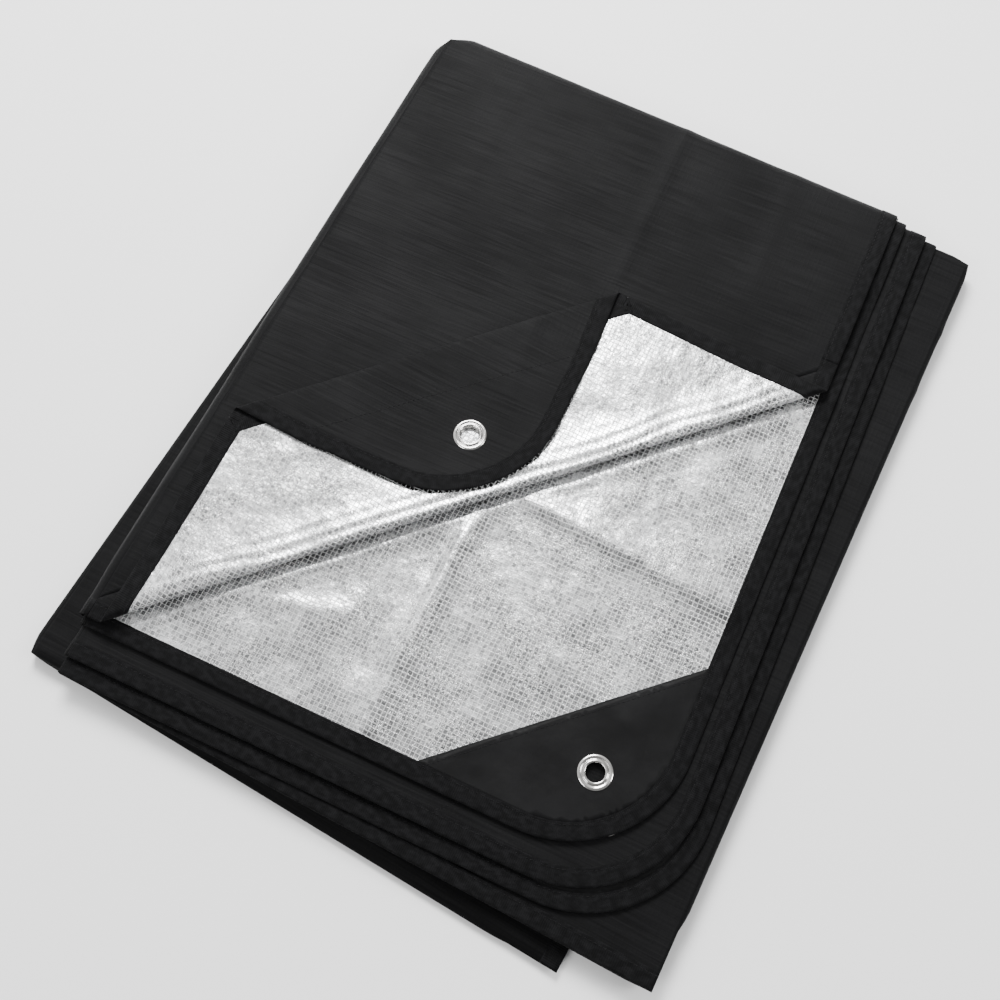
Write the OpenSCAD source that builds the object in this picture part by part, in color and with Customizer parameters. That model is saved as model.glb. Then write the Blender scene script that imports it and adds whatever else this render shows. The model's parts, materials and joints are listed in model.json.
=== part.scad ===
// Reflective thermal blanket, folded to a sixteen-layer packet with one corner turned back.
// A black woven outer cloth is bonded to a silver film. The sheet is halved twice, so that its four
// corners A, B, C and D lie together, and that quarter stack is halved twice more, to the left and
// away, with the open half tucked under each time. The corner of the top layer A is turned back and
// its tip is turned forward again, so that both faces and two of the eyelets can be seen.
// Plan coordinates: X runs along the near edge to the right, Y towards the far fold, from the near
// left corner of layer A. Every part is then moved so that the middle of the footprint is at X 0, Y 0.

/* [Laminate] */
// Thickness of the black woven outer cloth
outer_t = 0.3; // [0.2:0.05:0.35]
// Thickness of the silver film lining with its scrim
film_t = 0.12; // [0.08:0.02:0.16]
// Distance between the mid planes of the pressed layers
pitch = 1.15; // [1.1:0.05:1.6]

/* [Folded packet] */
// Distance from the side fold to the right edge of layer A
right_a = 357; // [330:1:380]
// Depth of layer A from its near edge to the far fold, along the middle
depth_a = 491; // [460:1:520]
// How far the near edge of layer A stands back from that of layer B
near_a = 5; // [0:1:10]
// Width of the tucked half, from the side fold to the right
tucked_width = 402; // [396:1:420]
// Depth of the tucked half, from the far fold to the near edge
tucked_depth = 541; // [530:1:560]
// How far the side fold leans to the right of square
side_lean = 1.2; // [0:0.1:1.5]
// How far the far fold falls away to the right of square
far_lean = 2.6; // [0:0.1:3]

/* [Turned corner] */
// Direction of the two creases of the turned corner
crease_angle = 43.6; // [42:0.1:46]
// Distance between the two creases
flap_width = 109.5; // [104:0.5:116]
// Radius of the blanket's corners
corner_r = 79; // [60:1:90]

/* [Trim] */
// Width of the binding tape on each face
binding_w = 11; // [8:0.5:14]
// Thickness of the binding tape
binding_t = 0.28; // [0.2:0.02:0.3]
// Length of a corner patch along the near edge
patch_along = 160; // [140:1:175]
// Length of a corner patch along the right edge
patch_up = 146; // [130:1:175]
// Thickness of a corner patch
patch_t = 0.35; // [0.2:0.05:0.4]
// Distance of an eyelet from both edges of the cloth
eyelet_inset = 49; // [40:1:60]

/* [Eyelet] */
// Radius of the hole
hole_r = 6; // [5:0.25:6.5]
// Outer radius of the flange and of the washer
flange_r = 11; // [10:0.25:12]
// Height of the domed flange above the cloth
dome_h = 1.4; // [1:0.1:1.5]
// Thickness of the washer
washer_t = 0.8; // [0.6:0.1:0.9]

/* [Hidden] */
$fn = 64;
laminate_t = outer_t + film_t;
bound_t = laminate_t + 2 * binding_t;
barrel_wall = 0.5;
thread_t = 0.2;
thread_w = 0.6;
seam_inset = 4;
seam_ends = 22;
reach = 1200;
slit = 0.1;
cloth_black = [0.07, 0.07, 0.075];
tape_black = [0.04, 0.04, 0.045];
film_silver = [0.82, 0.83, 0.84];
nickel = [0.78, 0.77, 0.74];

// Layers of the quarter stack, A to D, which lie a little past each other
A = 0;
B = 1;
C = 2;
D = 3;
right_edge = [right_a, right_a + 8, right_a + 24, right_a + 33];
near_edge = [near_a, 0, near_a - 26, near_a - 37];

// Quarters of the stack: the open one on top, and the three that are tucked under it
TOP = 0;
MIDDLE = 1;
LOWER = 2;
BASE = 3;

// Heights of the mid planes
press_z = [for (k = [0:11]) bound_t / 2 + k * pitch];
z_d = press_z[11] + 2.2;
z_c = z_d + 3.4;
z_b = z_c + 2.4;
z_a = z_b + 5.2;
z_flap = z_a + 2.4;
z_tip = z_flap + 2.6;
top_z = [z_a, z_b, z_c, z_d];
function layer_z(q, i) =
    q == TOP ? top_z[i] : q == MIDDLE ? press_z[8 + i] : q == LOWER ? press_z[7 - i] : press_z[i];
function black_up(q, i) = (q == TOP || q == LOWER) == (i % 2 == 0);

// Fold lines, each as a point and a direction
side_dir = 90 - side_lean;
far_dir = -far_lean;
side_pt = [-right_a * 0.02, 0];
far_pt = [right_a / 2, near_a + depth_a];
crease_pt = [0, near_a];
crease_n = [-sin(crease_angle), cos(crease_angle)];
tip_shift = 2 * flap_width * crease_n;
left_edge = side_pt[0] - tucked_width;
far_edge = far_pt[1] + tucked_depth;

function unit(a) = [cos(a), sin(a)];
function cross2(u, v) = u[0] * v[1] - u[1] * v[0];
// Where the line through p along direction a meets the line through q along direction b
function meet(p, a, q, b) = p + unit(a) * cross2(q - p, unit(b)) / cross2(unit(a), unit(b));
// The point p reflected in the line through o along direction a
function flip(p, o, a) = let (d = unit(a), r = p - o) o + 2 * (r * d) * d - r;
far_left = meet(side_pt, side_dir, far_pt, far_dir);

// Corners of the tucked half, where the packet reaches furthest
middle_far = meet(flip([left_edge, 0], side_pt, side_dir), 2 * side_dir - 90, far_pt, far_dir);
lower_near = flip(meet(side_pt, side_dir, [0, far_edge], 0), far_pt, far_dir);
inner_corner = flip(flip([left_edge, far_edge], side_pt, side_dir), far_pt, far_dir);
outer_corner = flip([right_edge[D], far_edge], far_pt, far_dir);
corners = [middle_far, lower_near, inner_corner, outer_corner, far_left];
// How far up its left edge the unfolded quarter stack is crossed by the far fold
left_far = flip(middle_far, side_pt, side_dir)[1];
// How far the outermost bends stand out of the fold lines
side_bend_r = (press_z[7] - press_z[0] + laminate_t) / 2;
edge_bend_r = (press_z[11] - press_z[8] + laminate_t) / 2;
far_bend_r = (z_a - press_z[0] + laminate_t) / 2;
low_x = min([for (p = corners) p[0]]) - side_bend_r;
high_x = max([for (p = corners) p[0]]) + edge_bend_r;
low_y = min([for (p = corners) p[1]]);
high_y = far_left[1] + far_bend_r;
// Centre of the footprint
middle = [(low_x + high_x) / 2, (low_y + high_y) / 2];

// ---- Placing ----

module at_height(z, thick) {
    translate([-middle[0], -middle[1], z - thick / 2]) linear_extrude(height = thick) children();
}

module flip_over(o, a) {
    translate(o) rotate(a) mirror([0, 1]) rotate(-a) translate(-o) children();
}

// Everything to the left of the directed line through o along a, d away from it
module left_of(o, a, d = 0) {
    translate(o) rotate(a) translate([-reach, d]) square([2 * reach, 2 * reach]);
}

module right_of(o, a, d = 0) {
    translate(o) rotate(a) translate([-reach, -2 * reach - d]) square([2 * reach, 2 * reach]);
}

// ---- Plans, on the unfolded quarter stack ----

// Layer i of the quarter stack, drawn in by inset along its two bound edges
module sheet_plan(i, inset = 0) {
    x1 = right_edge[i] - inset;
    y0 = near_edge[i] + inset;
    r = corner_r - inset;
    difference() {
        translate([left_edge, y0]) square([x1 - left_edge, far_edge - y0]);
        difference() {
            translate([x1 - r, y0 - 1]) square([r + 1, r + 1]);
            translate([x1 - r, y0 + r]) circle(r, $fn = 128);
        }
    }
}

// The half of a plan on quarter q's side of the side fold, as it lies after that fold
module side_folded(q) {
    if (q == TOP || q == BASE) {
        intersection() {
            children();
            right_of(side_pt, side_dir);
        }
    } else {
        flip_over(side_pt, side_dir) intersection() {
            children();
            left_of(side_pt, side_dir);
        }
    }
}

// The same for the far fold, which comes after the side fold
module far_folded(q) {
    if (q == TOP || q == MIDDLE) {
        intersection() {
            children();
            right_of(far_pt, far_dir);
        }
    } else {
        flip_over(far_pt, far_dir) intersection() {
            children();
            left_of(far_pt, far_dir);
        }
    }
}

module quarter(q) {
    far_folded(q) side_folded(q) children();
}

// A band along the bound edges of layer i, from inset a to inset b
module band_plan(i, a, b) {
    difference() {
        sheet_plan(i, a);
        sheet_plan(i, b);
    }
}

module patch_plan(i) {
    intersection() {
        sheet_plan(i);
        polygon([
            [right_edge[i] - patch_along, near_edge[i]],
            [right_edge[i], near_edge[i]],
            [right_edge[i], near_edge[i] + patch_up]
        ]);
    }
}

// The sewn line just inside the patch's long side
module patch_seam_plan(i) {
    start = [right_edge[i] - patch_along, near_edge[i]];
    run = norm([patch_along, patch_up]);
    translate(start) rotate(atan2(patch_up, patch_along)) translate([seam_ends, -seam_inset])
        square([run - 2 * seam_ends, thread_w]);
}

module eyelet_at(i) {
    translate([right_edge[i] - eyelet_inset, near_edge[i] + eyelet_inset]) children();
}

// Layer i with its hole, and with the faces of the eyelet left free
module layer_plan(i, inset = 0) {
    difference() {
        sheet_plan(i, inset);
        eyelet_at(i) circle(hole_r + barrel_wall);
    }
}

// The parts of layer A: what stays flat, the flap and the tip, each in its final place
module stays() {
    intersection() {
        children();
        left_of(crease_pt, crease_angle, slit);
    }
}

module flap_part() {
    flip_over(crease_pt, crease_angle) intersection() {
        children();
        right_of(crease_pt, crease_angle, slit);
        left_of(crease_pt, crease_angle, slit - flap_width);
    }
}

module tip_part() {
    translate(tip_shift) intersection() {
        children();
        right_of(crease_pt, crease_angle, slit + flap_width);
    }
}

// ---- Cloth ----

// The two bonded skins. z is the mid plane, and up says whether the black face is on top.
module cloth(z, up) {
    color(cloth_black) at_height(z + (up ? film_t : -film_t) / 2, outer_t) children();
}

module film(z, up) {
    color(film_silver) at_height(z - (up ? outer_t : -outer_t) / 2, film_t) children();
}

module quarter_layer(q, i) {
    quarter(q) layer_plan(i);
}

module quarter_cloths(q) {
    for (i = [A:D]) cloth(layer_z(q, i), black_up(q, i)) quarter_layer(q, i);
}

module quarter_films(q) {
    for (i = [A:D]) film(layer_z(q, i), black_up(q, i)) quarter_layer(q, i);
}

// Tape folded over an edge: a strip on each face of the cloth and the outer edge between them
module tape(z) {
    color(tape_black) for (s = [-1, 1]) {
        at_height(z + s * (laminate_t + binding_t) / 2, binding_t) children();
    }
}

// The two lines of thread that hold the tape, one on each of its faces
module binding_thread(z) {
    color(tape_black) for (s = [-1, 1]) {
        at_height(z + s * (bound_t + thread_t) / 2, thread_t) children();
    }
}

module quarter_band(q, i) {
    quarter(q) band_plan(i, 0, binding_w);
}

module quarter_seam(q, i) {
    quarter(q) band_plan(i, binding_w - 2 * thread_w, binding_w - thread_w);
}

module quarter_bindings(q) {
    for (i = [A:D]) tape(layer_z(q, i)) quarter_band(q, i);
}

// ---- Patches and eyelets ----

module patch(z, up) {
    at = z - (up ? 1 : -1) * (laminate_t + patch_t) / 2;
    color(cloth_black) at_height(at, patch_t) children();
}

// The two lines of thread that hold the patch's long side, one on each face
module patch_thread(z, up) {
    side = up ? 1 : -1;
    color(tape_black) {
        at_height(z + side * (laminate_t + thread_t) / 2, thread_t) children();
        at_height(z - side * (laminate_t / 2 + patch_t + thread_t / 2), thread_t) children();
    }
}

// Patch of layer i up to the tape, with its hole
module patch_cut(i) {
    difference() {
        intersection() {
            patch_plan(i);
            sheet_plan(i, binding_w + slit);
        }
        eyelet_at(i) circle(hole_r + barrel_wall);
    }
}

// Stands the eyelet in layer i: plan offset, mid plane, and which way the black face looks
module standing(i, z, up, offset = [0, 0]) {
    at = [right_edge[i] - eyelet_inset, near_edge[i] + eyelet_inset] + offset - middle;
    translate([at[0], at[1], z]) mirror([0, 0, up ? 0 : 1]) children();
}

// Domed flange on the black face, and the barrel that goes through cloth, patch and washer
module eyelet() {
    dome_w = flange_r - hole_r;
    dome_r = (pow(dome_w / 2, 2) + pow(dome_h, 2)) / (2 * dome_h);
    barrel_h = laminate_t + patch_t + washer_t;
    color(nickel) translate([0, 0, laminate_t / 2]) rotate_extrude($fn = 96) {
        intersection() {
            translate([hole_r + dome_w / 2, dome_h - dome_r]) circle(dome_r, $fn = 96);
            translate([hole_r, 0]) square([dome_w, dome_h + 1]);
        }
        translate([hole_r, -barrel_h]) square([barrel_wall, barrel_h + dome_h / 4]);
    }
}

module washer() {
    lift = laminate_t / 2 + patch_t;
    rim = washer_t / 2;
    color(nickel) translate([0, 0, -lift - washer_t]) rotate_extrude($fn = 96) {
        translate([hole_r + barrel_wall, 0]) square([flange_r - rim - hole_r - barrel_wall, washer_t]);
        translate([flange_r - rim, rim]) circle(rim, $fn = 48);
    }
}

// ---- Bends ----

// A half pipe of laminate that joins the layers at z1 and z2, on the left of the line from p to q.
// part is 0 for the whole of it, 1 for its upper half and -1 for its lower half.
module bend(p, q, z1, z2, part = 0) {
    r = abs(z1 - z2) / 2;
    size = r + laminate_t;
    run = q - p;
    color(cloth_black) translate([p[0] - middle[0], p[1] - middle[1], (z1 + z2) / 2])
        rotate(atan2(run[1], run[0])) rotate([90, 0, 90]) linear_extrude(height = norm(run))
            intersection() {
                difference() {
                    circle(r + laminate_t / 2);
                    circle(r - laminate_t / 2);
                }
                translate([0, part > 0 ? slit : -size])
                    square([size, part == 0 ? 2 * size : size - slit]);
            }
}

// Where the point p of the unfolded quarter stack lies in quarter q
function place(q, p) =
    q == TOP ? p
    : q == MIDDLE ? flip(p, side_pt, side_dir)
    : q == BASE ? flip(p, far_pt, far_dir)
    : flip(flip(p, side_pt, side_dir), far_pt, far_dir);

function side_at(y) = meet(side_pt, side_dir, [0, y], 0);
function far_at(x) = meet(far_pt, far_dir, [x, 0], 90);

// A bend on the left of the line from p to q of the unfolded quarter stack
module placed_bend(q, p1, p2, z1, z2) {
    turned_over = q == MIDDLE || q == BASE;
    a = place(q, turned_over ? p2 : p1);
    b = place(q, turned_over ? p1 : p2);
    bend(a, b, z1, z2);
}

// Bends along the edge where the second halving folded A to D and B to C
module second_halving_bends(q, low, high) {
    for (i = [A, B]) {
        placed_bend(q, [left_edge, low], [left_edge, high], layer_z(q, i), layer_z(q, D - i));
    }
}

// Bends along the edge where the first halving folded A to B and C to D
module first_halving_bends(q, low, high) {
    for (i = [A, C]) {
        placed_bend(q, [low, far_edge], [high, far_edge], layer_z(q, i), layer_z(q, i + 1));
    }
}

// ---- The sub-parts ----

module top_cloth() {
    cloth(z_a, true) stays() quarter_layer(TOP, A);
}

module top_film() {
    film(z_a, true) stays() quarter_layer(TOP, A);
}

module flap_cloth() {
    cloth(z_flap, false) flap_part() quarter_layer(TOP, A);
}

module flap_film() {
    film(z_flap, false) flap_part() quarter_layer(TOP, A);
}

module tip_cloth() {
    cloth(z_tip, true) tip_part() quarter_layer(TOP, A);
}

module tip_film() {
    film(z_tip, true) tip_part() quarter_layer(TOP, A);
}

module second_cloth() {
    cloth(z_b, false) quarter_layer(TOP, B);
}

module second_film() {
    film(z_b, false) quarter_layer(TOP, B);
}

module third_cloth() {
    cloth(z_c, true) quarter_layer(TOP, C);
}

module third_film() {
    film(z_c, true) quarter_layer(TOP, C);
}

module fourth_cloth() {
    cloth(z_d, false) quarter_layer(TOP, D);
}

module fourth_film() {
    film(z_d, false) quarter_layer(TOP, D);
}

module middle_cloths() {
    quarter_cloths(MIDDLE);
}

module middle_films() {
    quarter_films(MIDDLE);
}

module lower_cloths() {
    quarter_cloths(LOWER);
}

module lower_films() {
    quarter_films(LOWER);
}

module base_cloths() {
    quarter_cloths(BASE);
}

module base_films() {
    quarter_films(BASE);
}

module top_binding() {
    tape(z_a) stays() quarter_band(TOP, A);
}

module flap_binding() {
    tape(z_flap) flap_part() quarter_band(TOP, A);
}

module tip_binding() {
    tape(z_tip) tip_part() quarter_band(TOP, A);
}

module second_binding() {
    tape(z_b) quarter_band(TOP, B);
}

module third_binding() {
    tape(z_c) quarter_band(TOP, C);
}

module fourth_binding() {
    tape(z_d) quarter_band(TOP, D);
}

module middle_bindings() {
    quarter_bindings(MIDDLE);
}

module base_bindings() {
    quarter_bindings(BASE);
}

module tip_patch() {
    patch(z_tip, true) tip_part() patch_cut(A);
}

module second_patch() {
    patch(z_b, false) patch_cut(B);
}

module third_patch() {
    patch(z_c, true) patch_cut(C);
}

module fourth_patch() {
    patch(z_d, false) patch_cut(D);
}

module tip_eyelet() {
    standing(A, z_tip, true, tip_shift) eyelet();
}

module second_eyelet() {
    standing(B, z_b, false) eyelet();
}

module third_eyelet() {
    standing(C, z_c, true) eyelet();
}

module fourth_eyelet() {
    standing(D, z_d, false) eyelet();
}

module tip_washer() {
    standing(A, z_tip, true, tip_shift) washer();
}

module second_washer() {
    standing(B, z_b, false) washer();
}

module third_washer() {
    standing(C, z_c, true) washer();
}

module fourth_washer() {
    standing(D, z_d, false) washer();
}

module tip_patch_thread() {
    patch_thread(z_tip, true) tip_part() patch_seam_plan(A);
}

module second_patch_thread() {
    patch_thread(z_b, false) patch_seam_plan(B);
}

module third_patch_thread() {
    patch_thread(z_c, true) patch_seam_plan(C);
}

module fourth_patch_thread() {
    patch_thread(z_d, false) patch_seam_plan(D);
}

module top_binding_thread() {
    binding_thread(z_a) stays() quarter_seam(TOP, A);
}

module flap_binding_thread() {
    binding_thread(z_flap) flap_part() quarter_seam(TOP, A);
}

module tip_binding_thread() {
    binding_thread(z_tip) tip_part() quarter_seam(TOP, A);
}

module second_binding_thread() {
    binding_thread(z_b) quarter_seam(TOP, B);
}

module third_binding_thread() {
    binding_thread(z_c) quarter_seam(TOP, C);
}

module fourth_binding_thread() {
    binding_thread(z_d) quarter_seam(TOP, D);
}

module upper_side_bends() {
    for (i = [A:D]) bend(side_at(near_edge[i]), far_left, layer_z(TOP, i), layer_z(MIDDLE, i));
}

module lower_side_bends() {
    for (i = [A:D]) placed_bend(BASE, far_left, side_at(far_edge), layer_z(LOWER, i), layer_z(BASE, i));
}

module far_inner_bends() {
    for (i = [A:D]) bend(far_left, middle_far, layer_z(MIDDLE, i), layer_z(LOWER, i));
}

module far_upper_bends() {
    for (i = [A:D]) bend(far_left, far_at(right_edge[i]), layer_z(TOP, i), layer_z(BASE, i), 1);
}

module far_lower_bends() {
    for (i = [A:D]) bend(far_left, far_at(right_edge[i]), layer_z(TOP, i), layer_z(BASE, i), -1);
}

module corner_crease_bend() {
    bend(meet(crease_pt, crease_angle, [right_a, 0], 90), crease_pt, z_a, z_flap);
}

module tip_crease_bend() {
    uncreased = crease_pt - flap_width * crease_n;
    near_end = meet(uncreased, crease_angle, [0, near_a], 0);
    right_end = meet(uncreased, crease_angle, [right_a, 0], 90);
    a = flip(near_end, crease_pt, crease_angle);
    b = flip(right_end, crease_pt, crease_angle);
    bend(a, b, z_flap, z_tip);
}

module middle_edge_bends() {
    second_halving_bends(MIDDLE, near_a, left_far);
}

module lower_edge_bends() {
    second_halving_bends(LOWER, left_far, far_edge);
    first_halving_bends(LOWER, left_edge, side_at(far_edge)[0]);
}

module base_edge_bends() {
    first_halving_bends(BASE, side_at(far_edge)[0], right_a);
}

top_cloth();
top_film();
flap_cloth();
flap_film();
tip_cloth();
tip_film();
second_cloth();
second_film();
third_cloth();
third_film();
fourth_cloth();
fourth_film();
middle_cloths();
middle_films();
lower_cloths();
lower_films();
base_cloths();
base_films();
top_binding();
flap_binding();
tip_binding();
second_binding();
third_binding();
fourth_binding();
middle_bindings();
base_bindings();
tip_patch();
second_patch();
third_patch();
fourth_patch();
tip_eyelet();
second_eyelet();
third_eyelet();
fourth_eyelet();
tip_washer();
second_washer();
third_washer();
fourth_washer();
tip_patch_thread();
second_patch_thread();
third_patch_thread();
fourth_patch_thread();
top_binding_thread();
flap_binding_thread();
tip_binding_thread();
second_binding_thread();
third_binding_thread();
fourth_binding_thread();
upper_side_bends();
lower_side_bends();
far_inner_bends();
far_upper_bends();
far_lower_bends();
corner_crease_bend();
tip_crease_bend();
middle_edge_bends();
lower_edge_bends();
base_edge_bends();
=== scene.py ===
"""Looks of the folded reflective blanket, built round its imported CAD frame.

Lengths inside this script are millimetres in the row frame; solid() turns them into metres.
Every layer is described in sheet coordinates: the plan of the quarter stack before its last two
folds, with X and Y as in the row frame. A Surface turns sheet points into points of the packet.
"""
import json
import math

import bmesh
import bpy
import numpy as np
from mathutils import Vector, geometry
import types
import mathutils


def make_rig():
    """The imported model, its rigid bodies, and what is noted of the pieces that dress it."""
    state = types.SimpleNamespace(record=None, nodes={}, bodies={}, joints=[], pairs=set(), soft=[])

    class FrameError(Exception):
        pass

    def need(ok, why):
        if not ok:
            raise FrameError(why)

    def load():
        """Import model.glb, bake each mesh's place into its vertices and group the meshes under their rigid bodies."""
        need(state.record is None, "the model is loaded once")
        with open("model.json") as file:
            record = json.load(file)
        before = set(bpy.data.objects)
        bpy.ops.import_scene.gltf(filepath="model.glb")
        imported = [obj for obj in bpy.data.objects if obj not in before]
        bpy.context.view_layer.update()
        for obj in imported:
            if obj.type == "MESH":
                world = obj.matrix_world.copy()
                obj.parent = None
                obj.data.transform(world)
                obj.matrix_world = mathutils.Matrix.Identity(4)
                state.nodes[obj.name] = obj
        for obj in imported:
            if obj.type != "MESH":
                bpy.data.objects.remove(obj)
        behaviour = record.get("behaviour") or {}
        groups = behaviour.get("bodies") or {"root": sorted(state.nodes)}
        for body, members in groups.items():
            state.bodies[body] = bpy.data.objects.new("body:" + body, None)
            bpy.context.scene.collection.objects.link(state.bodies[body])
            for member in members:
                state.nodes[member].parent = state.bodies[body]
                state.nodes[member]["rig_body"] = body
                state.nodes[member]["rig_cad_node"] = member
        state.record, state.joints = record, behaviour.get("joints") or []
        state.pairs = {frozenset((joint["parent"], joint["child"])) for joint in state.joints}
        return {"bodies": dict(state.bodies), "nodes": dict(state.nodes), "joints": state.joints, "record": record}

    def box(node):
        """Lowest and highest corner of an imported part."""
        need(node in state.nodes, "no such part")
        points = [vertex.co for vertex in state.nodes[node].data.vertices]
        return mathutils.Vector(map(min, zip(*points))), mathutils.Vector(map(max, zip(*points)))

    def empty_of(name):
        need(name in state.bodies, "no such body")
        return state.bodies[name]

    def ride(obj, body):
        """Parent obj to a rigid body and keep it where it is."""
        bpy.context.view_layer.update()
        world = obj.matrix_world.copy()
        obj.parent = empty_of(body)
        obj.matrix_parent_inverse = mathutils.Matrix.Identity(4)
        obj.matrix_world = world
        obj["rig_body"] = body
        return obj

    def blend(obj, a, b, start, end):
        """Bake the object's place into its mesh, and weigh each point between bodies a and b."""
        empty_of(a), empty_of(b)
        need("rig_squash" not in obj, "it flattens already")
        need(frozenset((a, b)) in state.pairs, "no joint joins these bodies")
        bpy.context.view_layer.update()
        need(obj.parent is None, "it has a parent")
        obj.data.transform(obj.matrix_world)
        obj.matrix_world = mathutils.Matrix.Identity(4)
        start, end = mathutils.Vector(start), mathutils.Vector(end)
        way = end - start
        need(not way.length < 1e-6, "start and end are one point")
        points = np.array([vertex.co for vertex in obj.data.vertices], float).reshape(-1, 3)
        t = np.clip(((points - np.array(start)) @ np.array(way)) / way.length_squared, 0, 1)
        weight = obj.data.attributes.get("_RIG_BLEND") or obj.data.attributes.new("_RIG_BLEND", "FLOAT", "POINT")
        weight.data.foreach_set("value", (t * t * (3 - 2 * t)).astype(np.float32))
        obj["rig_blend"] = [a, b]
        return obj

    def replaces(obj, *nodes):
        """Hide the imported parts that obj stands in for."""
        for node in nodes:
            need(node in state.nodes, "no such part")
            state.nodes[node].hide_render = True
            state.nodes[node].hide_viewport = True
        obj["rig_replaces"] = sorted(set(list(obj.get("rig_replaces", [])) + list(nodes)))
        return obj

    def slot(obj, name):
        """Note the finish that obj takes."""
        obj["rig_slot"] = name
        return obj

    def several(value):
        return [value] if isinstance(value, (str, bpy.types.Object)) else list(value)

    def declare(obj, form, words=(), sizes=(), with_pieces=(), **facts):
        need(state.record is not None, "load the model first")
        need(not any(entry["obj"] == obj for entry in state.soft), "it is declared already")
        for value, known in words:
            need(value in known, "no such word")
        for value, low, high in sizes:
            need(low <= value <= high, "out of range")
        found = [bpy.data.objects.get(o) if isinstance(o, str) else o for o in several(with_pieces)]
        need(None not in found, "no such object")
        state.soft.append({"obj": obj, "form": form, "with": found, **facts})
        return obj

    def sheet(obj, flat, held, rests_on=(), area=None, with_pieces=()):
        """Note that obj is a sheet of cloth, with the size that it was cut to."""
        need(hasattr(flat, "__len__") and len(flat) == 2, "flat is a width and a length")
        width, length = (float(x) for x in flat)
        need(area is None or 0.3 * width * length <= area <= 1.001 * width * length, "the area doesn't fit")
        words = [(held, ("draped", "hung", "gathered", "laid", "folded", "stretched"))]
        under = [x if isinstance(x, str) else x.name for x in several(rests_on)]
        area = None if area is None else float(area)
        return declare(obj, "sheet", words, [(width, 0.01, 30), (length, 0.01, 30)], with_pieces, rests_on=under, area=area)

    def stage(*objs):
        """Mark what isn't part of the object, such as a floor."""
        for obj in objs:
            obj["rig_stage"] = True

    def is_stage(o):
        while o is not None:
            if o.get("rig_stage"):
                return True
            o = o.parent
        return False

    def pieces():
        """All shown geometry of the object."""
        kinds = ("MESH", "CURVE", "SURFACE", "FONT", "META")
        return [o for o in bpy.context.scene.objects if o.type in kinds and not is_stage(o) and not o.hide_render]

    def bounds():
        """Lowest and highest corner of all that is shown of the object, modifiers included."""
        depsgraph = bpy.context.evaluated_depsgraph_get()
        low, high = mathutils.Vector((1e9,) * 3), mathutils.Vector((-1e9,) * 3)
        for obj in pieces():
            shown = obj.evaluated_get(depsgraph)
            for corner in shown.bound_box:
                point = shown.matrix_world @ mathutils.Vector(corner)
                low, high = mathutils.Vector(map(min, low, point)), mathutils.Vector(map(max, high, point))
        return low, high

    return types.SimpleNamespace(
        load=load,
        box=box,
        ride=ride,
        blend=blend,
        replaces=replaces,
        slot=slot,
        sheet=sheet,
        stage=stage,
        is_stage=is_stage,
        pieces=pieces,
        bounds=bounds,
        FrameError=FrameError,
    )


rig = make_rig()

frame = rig.load()
CAD_LOW, CAD_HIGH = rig.bounds()

MM = 0.001
LAMINATE = 0.42        # cloth and film together
TAPE_W = 11.0          # tape on each face
TAPE_T = 0.28
PATCH_T = 0.35
PATCH_ALONG = 160.0    # patch along the near edge
PATCH_UP = 146.0       # patch along the right edge
CORNER_R = 79.0
EYELET_INSET = 49.0
HOLE_R = 6.0
FLANGE_R = 11.0
TUCKED_W = 402.0       # tucked half, across and deep
TUCKED_D = 541.0
SEAM = 4.0             # stitch line to patch edge
STITCH = 3.2           # pitch of the stitches
STITCH_SHARE = 0.78    # part of the pitch that is thread
THREAD_W = 0.45
NARROWEST = 10.001
FULLEST = 0.999        # most of its box that an outline is said to fill
THINNEST = 0.31        # least of its box that a bend is said to fill

A, B, C, D = range(4)
TOP, MIDDLE, LOWER, BASE = range(4)
NAMES = ["first", "second", "third", "fourth"]
QUARTERS = ["top", "middle", "lower", "base"]


# ---- The fold lines and edges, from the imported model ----

def line_of(joint, sign):
    """Point and unit direction in plan of a joint's axis."""
    j = next(x for x in frame["record"]["behaviour"]["joints"] if x["name"] == joint)
    return np.array(j["pos_m"][:2]) * 1000, sign * np.array(j["axis"][:2])


def corner_of(node, side, axis):
    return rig.box(node)[side][axis] * 1000


SIDE_P, SIDE_D = line_of("upper_side_fold", -1)
FAR_P, FAR_D = line_of("far_fold", -1)
L1_P, L1_D = line_of("corner_turn", 1)
L2_P, L2_D = line_of("tip_turn", -1)
L1_OUT = np.array([L1_D[1], -L1_D[0]])
FAR_OUT = np.array([-FAR_D[1], FAR_D[0]])      # from the top quarter over the far fold
FLAP_W = float(-(L2_P - L1_P) @ L1_OUT)

TOP_NODES = ["top", "second", "third", "fourth"]
RIGHT = [corner_of(f"{n}_cloth", 1, 0) for n in TOP_NODES]
NEAR = [L1_P[1]] + [corner_of(f"{n}_cloth", 0, 1) for n in TOP_NODES[1:]]
LEFT = SIDE_P[0] - TUCKED_W
FAR = FAR_P[1] + TUCKED_D


def mid_height(panel):
    """Middle of the cloth and film of a panel."""
    both = [f"{panel}_cloth", f"{panel}_film"]
    return (min(corner_of(n, 0, 2) for n in both) + max(corner_of(n, 1, 2) for n in both)) / 2


TOP_Z = [mid_height(n) for n in TOP_NODES]
FLAP_Z, TIP_Z = mid_height("flap"), mid_height("tip")
PRESS_LOW = corner_of("base_bindings", 0, 2) + TAPE_T + LAMINATE / 2
PRESS_HIGH = corner_of("middle_bindings", 1, 2) - TAPE_T - LAMINATE / 2
PRESS_Z = np.linspace(PRESS_LOW, PRESS_HIGH, 12)


def layer_z(q, i):
    if q == TOP:
        return TOP_Z[i]
    return PRESS_Z[{MIDDLE: 8 + i, LOWER: 7 - i, BASE: i}[q]]


# ---- Plane geometry ----

def flip(points, origin, direction):
    r = np.asarray(points, float) - origin
    return origin + 2 * np.outer(r @ direction, direction).reshape(r.shape) - r


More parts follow.
